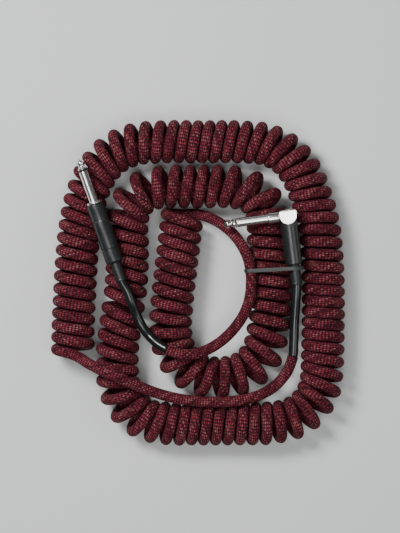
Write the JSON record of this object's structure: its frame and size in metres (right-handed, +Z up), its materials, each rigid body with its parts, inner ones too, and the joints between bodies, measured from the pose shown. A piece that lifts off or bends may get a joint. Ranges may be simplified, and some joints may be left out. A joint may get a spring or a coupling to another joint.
{
  "type": "instrument cable",
  "caption": "Coiled tweed-braided instrument cable in a double loop, with a straight plug, a right-angle plug and a twist tie holding the bundle.",
  "frame": {"origin": "middle of the cable's box, on the surface that the coil lies on", "axes": "+X and +Y lie on that surface, +Y along the loop's longer side towards the straight plug's tip, and +Z is up from the surface"},
  "size_m": [0.2018, 0.2236, 0.0413],
  "materials": {
    "tweed_braid": "woven braid of near-black and dark red threads with pinkish-red flecks",
    "black_jacket": "glossy black cable jacket",
    "heat_shrink": "smooth black shrink sleeve",
    "black_shell": "semi-gloss black coated metal",
    "nickel": "polished nickel plate",
    "black_insulator": "moulded black plastic",
    "white_insulator": "off-white moulded plastic",
    "brass": "plain brass",
    "copper": "bare copper wire",
    "tie_band": "dark grey-green coated wire tie"
  },
  "bodies": {
    "root": {"angle_conductor": "copper", "angle_core_insulation": "white_insulator", "angle_ground_lug": "brass", "angle_head": "nickel", "angle_inner_insulator": "white_insulator", "angle_liner": "white_insulator", "angle_shield_pigtail": "copper", "angle_sleeve": "nickel", "angle_strain_relief": "heat_shrink", "angle_tip": "nickel", "angle_tip_insulator": "black_insulator", "angle_tip_lug": "brass", "angle_tip_rod": "brass", "coil_arch": "tweed_braid", "coil_bottom": "tweed_braid", "coil_bottom_left": "tweed_braid", "coil_bottom_right": "tweed_braid", "coil_centre": "tweed_braid", "coil_left": "tweed_braid", "coil_outer_left": "tweed_braid", "coil_outer_right": "tweed_braid", "coil_outer_top": "tweed_braid", "coil_outer_top_left": "tweed_braid", "coil_outer_top_right": "tweed_braid", "coil_right": "tweed_braid", "coil_u_turn": "tweed_braid", "lead_a": "black_jacket", "lead_b": "black_jacket", "straight_conductor": "copper", "straight_core_insulation": "white_insulator", "straight_front_ring": "black_shell", "straight_ground_lug": "brass", "straight_inner_insulator": "white_insulator", "straight_shield_pigtail": "copper", "straight_sleeve": "nickel", "straight_strain_relief": "heat_shrink", "straight_tip": "nickel", "straight_tip_insulator": "black_insulator", "straight_tip_lug": "brass", "straight_tip_rod": "brass", "tail_a": "tweed_braid", "tail_b": "tweed_braid", "twist_tie": "tie_band"},
    "straight_liner": {"straight_liner": "white_insulator"},
    "straight_barrel": {"straight_barrel": "black_shell"},
    "straight_chuck": {"straight_chuck": "white_insulator"},
    "straight_rear_collar": {"straight_rear_collar": "black_shell"},
    "angle_handle": {"angle_handle_sleeve": "black_shell"}
  },
  "joints": [
    {"name": "barrel_travel", "type": "slide", "parent": "root", "child": "straight_liner", "axis": [0.3289, -0.9444, 0], "range_m": [0, 0.003]},
    {"name": "barrel_turn", "type": "hinge", "parent": "straight_liner", "child": "straight_barrel", "pos_m": [-0.0704, 0.0549, 0.0353], "axis": [0.3289, -0.9444, 0], "range_deg": [0, 1080]},
    {"name": "collar_travel", "type": "slide", "parent": "straight_barrel", "child": "straight_chuck", "axis": [0.3289, -0.9444, 0], "range_m": [0, 0.003]},
    {"name": "collar_turn", "type": "hinge", "parent": "straight_chuck", "child": "straight_rear_collar", "pos_m": [-0.0704, 0.0549, 0.0353], "axis": [0.3289, -0.9444, 0], "range_deg": [0, 1080]},
    {"name": "handle_slide", "type": "slide", "parent": "root", "child": "angle_handle", "axis": [0.1311, -0.9827, -0.1305], "range_m": [0, 0.012]}
  ],
  "couplings": [
    {"joint": "barrel_turn", "follows": "barrel_travel", "rad_per_m": 6283.2},
    {"joint": "collar_turn", "follows": "collar_travel", "rad_per_m": 6283.2}
  ]
}
